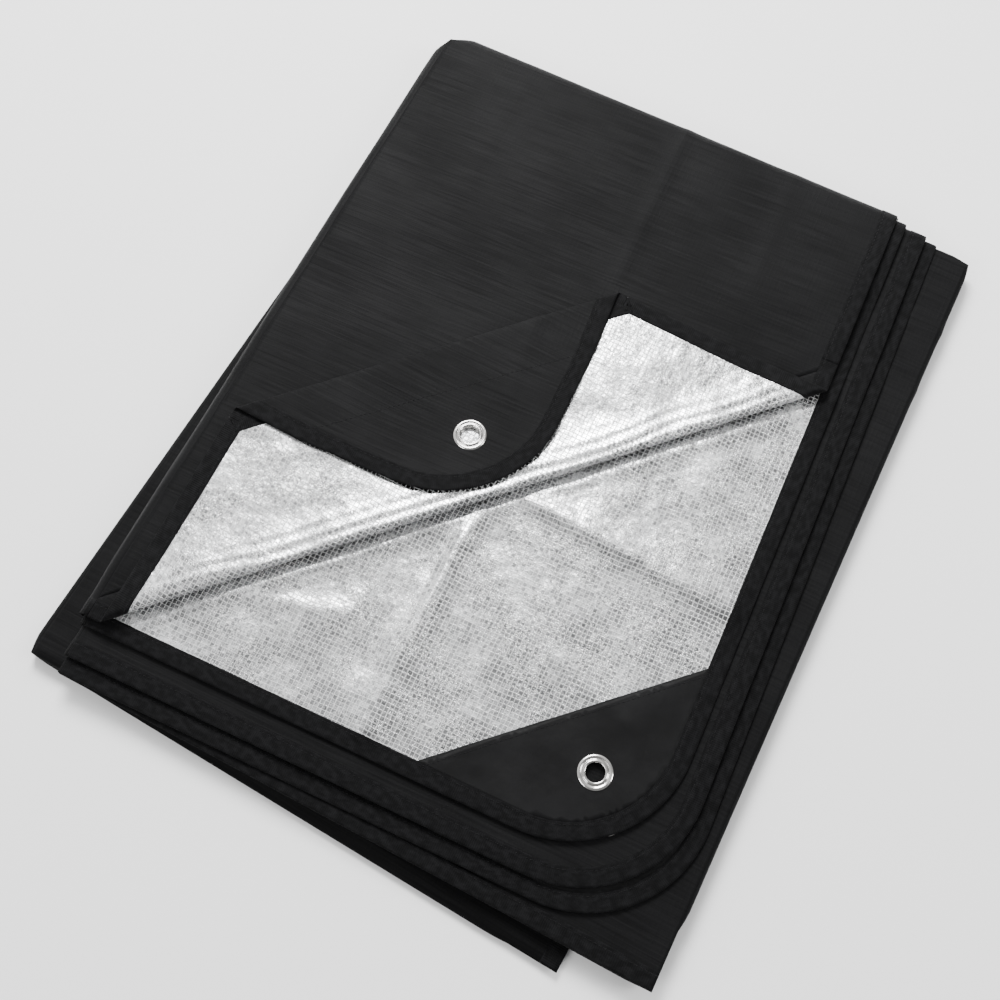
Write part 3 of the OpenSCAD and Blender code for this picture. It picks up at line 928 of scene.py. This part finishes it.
def tape_material():
    """Ribbed binding tape with fine cross ribs."""
    m = material("binding_tape", (0.003, 0.003, 0.0033), 0.72, Specular_IOR_Level=0.07,
                 Sheen_Weight=0.02, Sheen_Roughness=0.5)
    n = Nodes(m)
    across, along = n.split()
    twill = n.sine(n.math("ADD", along, across), 1.7)
    n.drive("Base Color", n.mix(n.ramp(n.noise(0.15, 3), 0.35, 0.7), (0.0018, 0.0018, 0.002),
                                (0.0055, 0.0055, 0.006)))
    n.drive("Normal", n.bump(n.blend(n.sine(along, 1.3), 0.6, twill, 0.3), 0.14, 0.8))
    return m


def patch_material():
    """Smooth coated cloth of the corner patches."""
    m = material("patch_cloth", (0.006, 0.006, 0.0063), 0.5, Specular_IOR_Level=0.09,
                 Sheen_Weight=0.02, Sheen_Roughness=0.4)
    n = Nodes(m)
    n.drive("Base Color", n.mix(n.ramp(n.noise(0.03, 3), 0.3, 0.7), (0.0030, 0.0030, 0.0032),
                                (0.0062, 0.0062, 0.0066)))
    n.drive("Roughness", n.ramp(n.noise(0.4, 4), 0.3, 0.7, 0.46, 0.58))
    n.drive("Normal", n.bump(n.noise(0.07, 3), 1.2, 0.35, n.bump(n.weave(0.45), 0.04, 0.4)))
    return m


def thread_material():
    """Black thread with the twist of its plies."""
    m = material("sewing_thread", (0.004, 0.004, 0.0045), 0.6, Specular_IOR_Level=0.15,
                 Sheen_Weight=0.02)
    n = Nodes(m)
    n.drive("Normal", n.bump(n.sine(n.math("ADD", *n.split()), 0.35), 0.05, 0.8))
    n.drive("Roughness", n.ramp(n.noise(0.3, 2), 0.3, 0.7, 0.42, 0.6))
    return m


def metal_material():
    """Bright nickel plate with faint clouding and handling scuffs."""
    m = material("nickel_plate", (0.70, 0.69, 0.67), 0.16, 1.0)
    n = Nodes(m)
    place = n.add("ShaderNodeTexCoord").outputs["Object"]
    scuff = n.noise(900.0, 4, vector=place, rough=0.65)
    cloud = n.noise(160.0, 3, vector=place)
    n.drive("Roughness", n.ramp(cloud, 0.3, 0.75, 0.1, 0.24))
    n.drive("Base Color", n.mix(n.ramp(cloud, 0.3, 0.8), (0.72, 0.71, 0.69), (0.50, 0.49, 0.48)))
    n.drive("Normal", n.bump(scuff, 0.03, 0.35))
    return m


CLOTH, FILM, TAPE = cloth_material(), film_material(), tape_material()
PATCH, THREAD, METAL = patch_material(), thread_material(), metal_material()


# ---- Joining and declaring ----

def join(name, parts):
    """One object from several; they share the materials by slot name."""
    bpy.ops.object.select_all(action="DESELECT")
    for p in parts:
        p.select_set(True)
    bpy.context.view_layer.objects.active = parts[0]
    if len(parts) > 1:
        bpy.ops.object.join()
    parts[0].name = name
    parts[0].data.name = name
    return parts[0]


def declare(obj, outline, rests_on, with_pieces):
    """States the cut size of a panel: the box of its outline, and the outline's own area."""
    span = outline.max(0) - outline.min(0)
    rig.sheet(obj, flat=tuple(float(s) * MM for s in span), held="folded", rests_on=rests_on,
             area=float(min(abs(signed_area(outline)) / 2, FULLEST * span[0] * span[1])) * MM * MM,
             with_pieces=with_pieces)


def ring_hole(i):
    """The hole cut in layer i, just wider than the eyelet's barrel."""
    turn = np.linspace(0, 2 * math.pi, 48, endpoint=False)
    return eyelet_centre(i) + (HOLE_R + 0.5) * np.column_stack([np.cos(turn), np.sin(turn)])


def eyelet_centre(i):
    return np.array([RIGHT[i] - EYELET_INSET, NEAR[i] + EYELET_INSET])


def bound_path(i, inset=0.0):
    """The bound edges of layer i, from the left of its near edge to the far end of its right edge."""
    return sheet_outline(i, inset)[:-1]


def path_inside(path, convex, step=1.0):
    """The stretch of a path that lies inside a convex outline."""
    path = resample(path, step)
    return path[depth_inside(path, convex) >= -1e-3]


def grown(outline, by):
    """A convex outline moved out a little, so that a path along its edge counts as inside."""
    centre = outline.mean(0)
    r = outline - centre
    return centre + r * (1 + by / np.linalg.norm(r, axis=1).max())


def trim(name, surface, i, outline, sides=(1, -1), flat=False, step=2.5, reach=1.3):
    """Tape and its stitch lines along the bound edges that lie in an outline. The tape runs on
    past the outline by about reach."""
    path = path_inside(bound_path(i), grown(outline, reach), min(step, 1.0))
    seam = path_inside(bound_path(i, TAPE_W - 2.2), outline)
    lift = LAMINATE / 2 + TAPE_T + 0.06
    return [tape(name + "_tape", surface, path, step, flat),
            *(stitches(name + "_seam", surface, seam, side * lift) for side in sides)]


def patch_outline(i):
    line_p = np.array([RIGHT[i] - PATCH_ALONG, NEAR[i]])
    line_d = np.array([PATCH_ALONG, PATCH_UP]) / math.hypot(PATCH_ALONG, PATCH_UP)
    inner = sheet_outline(i, TAPE_W - 0.8)
    return clip(inner, line_p, line_d, False), line_p, line_d


def patch(name, surface, i, below):
    """Corner patch on one side of the layer, and the stitches of its long side on both."""
    outline, p, d = patch_outline(i)
    points, faces = fill(outline, 3.0, [ring_hole(i)])
    face = -1 if below else 1
    near, far = face * (LAMINATE / 2 + 0.02), face * (LAMINATE / 2 + PATCH_T)
    made = slab(name + "_patch", surface, points, faces, min(near, far), max(near, far), [PATCH, PATCH])
    inner = np.array([-d[1], d[0]]) * -SEAM
    line = np.array([p + d * 14 + inner, p + d * (math.hypot(PATCH_ALONG, PATCH_UP) - 14) + inner])
    seams = [stitches(name, surface, line, face * (LAMINATE / 2 + PATCH_T + 0.05)),
             stitches(name, surface, line, -face * (LAMINATE / 2 + 0.05))]
    return made, join(name + "_seam", seams)


# ---- The top quarter ----

def away_line(out):
    """A line parallel to the corner crease, out millimetres towards the near right corner."""
    return L1_P + L1_OUT * out, L1_D


def far_taper(plan):
    """Draws the far bend in at the far left corner, where it meets the side bends."""
    return drawn_in((plan - FAR_CORNER) @ FAR_D / 16)


class FarSurface(Surface):
    """A top or base layer with its own half of the bend round the far fold."""

    def __init__(self, q, i):
        super().__init__(q, i)
        self.radius = (TOP_Z[i] - PRESS_Z[i]) / 2

    def place(self, points):
        points = np.asarray(points, float)
        way = 1 if self.q == TOP else -1
        beyond = way * ((points - FAR_P) @ FAR_OUT)
        plan = fold_plan(self.q, points - way * np.outer(np.maximum(beyond, 0), FAR_OUT))
        z = height(self.q, self.i, plan[:, 0], plan[:, 1])
        angle = np.clip(beyond / self.radius, 0, math.pi / 2)
        plan = plan + np.outer(self.radius * np.sin(angle) * far_taper(plan), FAR_OUT)
        return np.column_stack([plan, z - way * self.radius * (1 - np.cos(angle))])


def far_layer(name, surface, outline, step, holes=()):
    """A panel with its half of the far bend, with extra rows of points for a smooth arc."""
    full = grown_over_far(outline, surface.radius, surface.q)
    way = 1 if surface.q == TOP else -1
    t = np.arange(-200, 200, 3.0)
    rows = [FAR_P + np.outer(t, FAR_D) + FAR_OUT * way * share * surface.radius * math.pi / 2
            for share in np.linspace(0.04, 0.96, 9)]
    return full, laminate(name, surface, full, step, holes, np.vstack(rows))


def grown_over_far(outline, radius, q):
    """The outline carried on along its own two edges by half the far bend."""
    on_line = np.abs((outline - FAR_P) @ FAR_OUT) < 0.01
    edge = np.where((outline[:, 0] > FAR_P[0])[:, None], (0.0, 1.0), SIDE_D)
    reach = (1 if q == TOP else -1) * radius * math.pi / 2 / (edge @ FAR_OUT)
    return np.where(on_line[:, None], outline + edge * reach[:, None], outline)


def dress(obj, body, slot, *nodes):
    """Ties a piece to its body, its material slot and the CAD nodes that it stands for."""
    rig.ride(obj, body)
    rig.slot(obj, slot)
    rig.replaces(obj, *nodes)
    return obj


def build_first():
    """Layer A: the panel that stays flat."""
    outline = clip(quarter_outline(TOP, A), *away_line(-UNDER), True)
    surface = FarSurface(TOP, A)
    full, obj = far_layer("first_layer", surface, outline, 3.0)
    dress(obj, "top", "outer_cloth", "top_cloth", "top_film", "far_upper_bends")
    edge = dress(join("first_tape", trim("first", surface, A, full)), "top", "binding_tape",
                 "top_binding", "top_binding_thread")
    declare(obj, full, ["second_layer"], [edge])


def build_corner():
    """The flap and the tip: two pieces, since each bends round one crease."""
    surface = TurnedSurface()
    whole = quarter_outline(TOP, A)
    flap = clip(clip(whole, *away_line(-UNDER), False), *away_line(FLAP_W - FLAP_END), True)
    tip = clip(whole, *away_line(FLAP_W - FLAP_END), False)
    obj = laminate("turned_corner", surface, flap, 2.2, (), rows_along(0.4, ROLL_1 - 0.4, 12), 0.9)
    edge = join("flap_tape", trim("flap", surface, A, flap, step=0.8, reach=0.2))
    for piece, slot, nodes in (
            (obj, "silver_film", ["flap_cloth", "flap_film", "corner_crease_bend"]),
            (edge, "binding_tape", ["flap_binding", "flap_binding_thread"])):
        blended(piece, "top", "flap", TOP_Z[A], FLAP_Z - FROM_MIDDLE, L1_P)
        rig.slot(piece, slot)
        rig.replaces(piece, *nodes)
    declare(obj, turned(flap), ["second_layer"], [edge])
    rolls = rows_along(0.3, ROLL_2 - 0.3, 10, FLAP_W)
    end = laminate("corner_tip", surface, tip, 2.2, [ring_hole(A)], rolls, 0.9)
    edge = join("tip_tape", trim("tip", surface, A, tip, step=0.8, reach=0.2))
    corner, seam = patch("tip_corner", surface, A, True)
    for piece, slot, nodes in (
            (end, "outer_cloth", ["tip_cloth", "tip_film", "tip_crease_bend"]),
            (edge, "binding_tape", ["tip_binding", "tip_binding_thread"]),
            (corner, "patch_cloth", ["tip_patch"]), (seam, "sewing_thread", ["tip_patch_thread"])):
        blended(piece, "flap", "tip", FLAP_Z + FROM_MIDDLE, TIP_Z - FROM_MIDDLE, L2_P)
        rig.slot(piece, slot)
        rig.replaces(piece, *nodes)
    ring = grommet("tip", surface, A)
    declare(end, turned(tip), ["turned_corner"], [edge, corner, seam, ring])


def rows_along(first, last, count, start=0.0):
    """Extra sheet points in rows along a crease that lies start past the corner crease."""
    return np.vstack([L1_P + np.outer(np.arange(0, 520, 2.5), L1_D) + L1_OUT * (start + out)
                      for out in np.linspace(first, last, count)])


def turned(outline):
    """The outline in the direction of the crease, so that its box is the cut's own size."""
    r = outline - L1_P
    return np.column_stack([r @ L1_D, r @ L1_OUT])


def build_under(i):
    """Layers B, C and D: panel, tape, patch and eyelet."""
    node = NAMES[i]
    surface = FarSurface(TOP, i)
    full, obj = far_layer(f"{node}_layer", surface, quarter_outline(TOP, i), 2.4 if i == B else 4.0,
                          [ring_hole(i)])
    corner, seam = patch(f"{node}_corner", surface, i, i % 2 == 0)
    dress(obj, "top", "silver_film" if i == B else "outer_cloth", f"{node}_cloth", f"{node}_film")
    dress(corner, "top", "patch_cloth", f"{node}_patch")
    dress(seam, "top", "sewing_thread", f"{node}_patch_thread")
    edge = dress(join(f"{node}_tape", trim(node, surface, i, full)), "top", "binding_tape",
                 f"{node}_binding", f"{node}_binding_thread")
    below = f"{NAMES[i + 1]}_layer" if i < D else "middle_fourth_layer"
    declare(obj, full, [below], [edge, corner, seam, grommet(node, surface, i)])


# ---- Eyelets ----

def grommet(name, surface, i):
    """Domed flange on the black side; washer with the rolled barrel end on the patch side."""
    centre = eyelet_centre(i)
    at = surface.place(centre[None])[0]
    up = 1 if i % 2 == 0 else -1
    h, r, f, low = LAMINATE / 2, HOLE_R, FLANGE_R, LAMINATE / 2 + PATCH_T
    dome = [(0, 0.35), (0.2, 0.95), (0.65, 1.34), (1.15, 1.45), (1.65, 1.3), (2.0, 0.9), (2.25, 0.52),
            (2.55, 0.5), (2.9, 0.78), (3.5, 1.0), (4.1, 0.94), (4.6, 0.66), (f - 0.1 - r, 0.32),
            (f - r, 0.1), (f - 0.1 - r, 0.0), (0.5, 0.0), (0.5, -LAMINATE - PATCH_T - 0.8),
            (0, -LAMINATE - PATCH_T - 0.9)]
    flange = lathe(f"{name}_flange", [(r + a, b + h) for a, b in dome], at, at[2], up, METAL)
    crimp = [(-0.15, 0.2), (-0.1, 0.85), (0.25, 1.2), (0.85, 1.35), (1.5, 1.2), (1.85, 0.75),
             (2.05, 0.36), (2.4, 0.32), (2.8, 0.6), (3.5, 0.8), (4.1, 0.74), (4.7, 0.45), (f - r, 0.1),
             (f - 0.1 - r, 0), (0.6, 0)]
    washer = lathe(f"{name}_crimp", [(r + a, b + low) for a, b in crimp], at, at[2], -up, METAL)
    return dress(join(f"{name}_grommet", [flange, washer]), "tip" if i == A else "top", "eyelet_metal",
                 f"{name}_eyelet", f"{name}_washer")


# ---- The tucked quarters ----

def build_tucked(q, i, below):
    """One layer of a tucked quarter, with its tape. It lies on the pieces in below."""
    outline, body = quarter_outline(q, i), QUARTERS[q]
    name = f"{body}_{NAMES[i]}_layer"
    nodes = [f"{body}_cloths", f"{body}_films"]
    if q == BASE:
        surface = FarSurface(q, i)
        full, obj = far_layer(name, surface, outline, 7.0)
        nodes.append("far_lower_bends")
    else:
        surface, full = Surface(q, i), outline
        obj = laminate(name, surface, full, 4.0 if (q, i) == (MIDDLE, D) else 7.0)
    dress(obj, body, "outer_cloth", *nodes)
    edges = []
    if q != LOWER:
        seam_sides = (1, -1) if (q, i) in ((MIDDLE, D), (BASE, A)) else ()
        edge = join(f"{body}_{NAMES[i]}_tape", trim(name, surface, i, full, seam_sides, True))
        edges = [dress(edge, body, "binding_tape", f"{body}_bindings")]
    declare(obj, full, below, edges)


def build_all_tucked():
    """The twelve pressed layers from the ground up."""
    order = [(q, k) for q, ks in ((BASE, (A, B, C, D)), (LOWER, (D, C, B, A)), (MIDDLE, (A, B, C, D)))
             for k in ks]
    below = {pair: [f"{QUARTERS[q]}_{NAMES[k]}_layer"] for pair, (q, k) in zip(order[1:], order)}
    for q in (BASE, LOWER, MIDDLE):
        for i in (A, B, C, D):
            build_tucked(q, i, below.get((q, i), []))


# ---- Bends between the quarters ----

def blended(obj, a, b, z_a, z_b, p):
    """Bends a piece between two bodies, from height z_a to height z_b beside plan point p."""
    start, end = ([float(v) * MM for v in (*p, z)] for z in (z_a, z_b))
    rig.blend(obj, a, b, start=tuple(start), end=tuple(end))


def side_point(q, y):
    """Where the side fold is at sheet height y, in quarter q."""
    p = meet(SIDE_P, SIDE_D, np.array([0.0, y]), np.array([1.0, 0.0]))
    return fold_plan(q, p[None])[0]


def build_side_bends():
    """Cloth round the side folds: top to middle, and lower to base."""
    for i in (A, B, C, D):
        obj = bend(f"upper_side_bend_{NAMES[i]}", side_point(TOP, NEAR[i]), FAR_CORNER,
                   (TOP, i), (MIDDLE, i), "upper_side_bends", bound=True)
        blended(obj, "middle", "top", PRESS_Z[8 + i] + 0.5, TOP_Z[i] - 1.0, SIDE_P)
        obj = bend(f"lower_side_bend_{NAMES[i]}", side_point(BASE, FAR), FAR_CORNER,
                   (LOWER, i), (BASE, i), "lower_side_bends")
        blended(obj, "base", "lower", PRESS_Z[i] + 0.35, PRESS_Z[7 - i] - 0.35, FAR_CORNER)


def build_far_bends():
    """Cloth round the far fold between the middle and the lower quarter."""
    left, above = flip(np.array([[LEFT, 0.0], [LEFT, 1.0]]), SIDE_P, SIDE_D)
    far_end = meet(left, above - left, FAR_P, FAR_D)
    for i in (A, B, C, D):
        obj = bend(f"far_bend_{NAMES[i]}", FAR_CORNER, far_end, (MIDDLE, i), (LOWER, i),
                   "far_inner_bends")
        blended(obj, "lower", "middle", PRESS_Z[7 - i] + 0.3, PRESS_Z[8 + i] - 0.3, FAR_P)


def edge_bend(name, q, a, b, i, j):
    """Cloth round a halving edge: layer i joins layer j of the same quarter."""
    p, r = fold_plan(q, np.array([a, b], float))
    inside = fold_plan(q, np.array([[(LEFT + RIGHT[0]) / 2 if q == BASE else LEFT / 2, FAR / 3]]))[0]
    run = r - p
    if run[0] * (inside - p)[1] - run[1] * (inside - p)[0] > 0:
        p, r = r, p
    high, low = (i, j) if layer_z(q, i) > layer_z(q, j) else (j, i)
    obj = bend(f"{name}_{NAMES[i]}", p, r, (q, high), (q, low), f"{QUARTERS[q]}_edge_bends")
    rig.ride(obj, QUARTERS[q])


def edge_is_black(q, i):
    """Whether the outer face of a bend that starts from layer i of quarter q is the black one."""
    return (q in (TOP, LOWER)) == (i % 2 == 0)


def build_edge_bends():
    """The two first halvings of the blanket, where they show in the tucked quarters."""
    far_y = meet(np.array([LEFT, 0.0]), np.array([0.0, 1.0]), FAR_LEFT_P, FAR_LEFT_D)[1]
    side_x = meet(SIDE_P, SIDE_D, np.array([0.0, FAR]), np.array([1.0, 0.0]))[0]
    for i in (A, B):
        edge_bend("middle_edge", MIDDLE, (LEFT, NEAR[A]), (LEFT, far_y), i, D - i)
        edge_bend("lower_edge", LOWER, (LEFT, far_y), (LEFT, FAR), i, D - i)
    for i in (A, C):
        edge_bend("lower_near", LOWER, (LEFT, FAR), (side_x, FAR), i, i + 1)
        edge_bend("base_near", BASE, (side_x, FAR), (RIGHT[A], FAR), i, i + 1)


# ---- Stage ----

def add_area(name, place, size, watts):
    """A soft area light that faces the origin."""
    light = bpy.data.lights.new(name, "AREA")
    light.shape, light.size, light.size_y = "RECTANGLE", size[0], size[1]
    light.energy = watts
    obj = bpy.data.objects.new(name, light)
    bpy.context.scene.collection.objects.link(obj)
    obj.location = place
    obj.rotation_euler = (-Vector(place)).to_track_quat("-Z", "Y").to_euler()


def build_stage():
    bpy.ops.mesh.primitive_plane_add(size=12, location=(0, 0, CAD_LOW[2] - 0.0004))
    floor = bpy.context.object
    floor.name = "floor"
    m = material("floor", (0.95, 0.95, 0.95), 0.75)
    n = Nodes(m)
    place = n.add("ShaderNodeTexCoord").outputs["Object"]
    n.drive("Roughness", n.ramp(n.noise(3.0, 2, vector=place), 0.3, 0.7, 0.7, 0.8))
    floor.data.materials.append(m)
    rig.stage(floor)
    build_world()
    add_area("key", (-0.62, 1.0, 1.3), (0.8, 0.7), 62)
    add_area("fill", (1.4, 0.3, 1.1), (0.5, 1.0), 18)
    add_area("front", (-0.7, -1.3, 1.2), (0.9, 0.6), 14)


def build_world():
    """A soft studio sky, bright on the far left and darker on the near right."""
    world = bpy.data.worlds.new("studio")
    bpy.context.scene.world = world
    world.use_nodes = True
    tree = world.node_tree
    place = tree.nodes.new("ShaderNodeTexCoord")
    lean = tree.nodes.new("ShaderNodeVectorMath")
    lean.operation = "DOT_PRODUCT"
    lean.inputs[1].default_value = (-0.75, 0.6, 0.25)
    sky = tree.nodes.new("ShaderNodeMapRange")
    tree.links.new(place.outputs["Generated"], lean.inputs[0])
    tree.links.new(lean.outputs["Value"], sky.inputs["Value"])
    for name, value in (("From Min", 0.1), ("From Max", 0.9), ("To Min", 0.32), ("To Max", 1.4)):
        sky.inputs[name].default_value = value
    tree.links.new(sky.outputs[0], tree.nodes["Background"].inputs[1])
    tree.nodes["Background"].inputs[0].default_value = (1, 1, 1, 1)


def build_camera():
    data = bpy.data.cameras.new("camera")
    data.sensor_width, data.lens = 36, 44.99
    data.clip_start, data.clip_end = 0.05, 20
    cam = bpy.data.objects.new("camera", data)
    bpy.context.scene.collection.objects.link(cam)
    azimuth, elevation, distance = math.radians(24.74), math.radians(68.56), 0.80
    target = Vector((0.0030, -0.0461, 0.0263))
    back = Vector((math.sin(azimuth) * math.cos(elevation), -math.cos(azimuth) * math.cos(elevation),
                   math.sin(elevation)))
    cam.location = target + back * distance
    cam.rotation_euler = (-back).to_track_quat("-Z", "Y").to_euler()
    bpy.context.scene.camera = cam


def build():
    build_camera()
    build_stage()
    build_all_tucked()
    for i in (D, C, B):
        build_under(i)
    build_first()
    build_corner()
    build_side_bends()
    build_far_bends()
    build_edge_bends()


build()
LOW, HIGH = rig.bounds()
with open("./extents.json", "w") as f:
    json.dump({"cad": [list(CAD_LOW), list(CAD_HIGH)], "visual": [list(LOW), list(HIGH)]}, f)
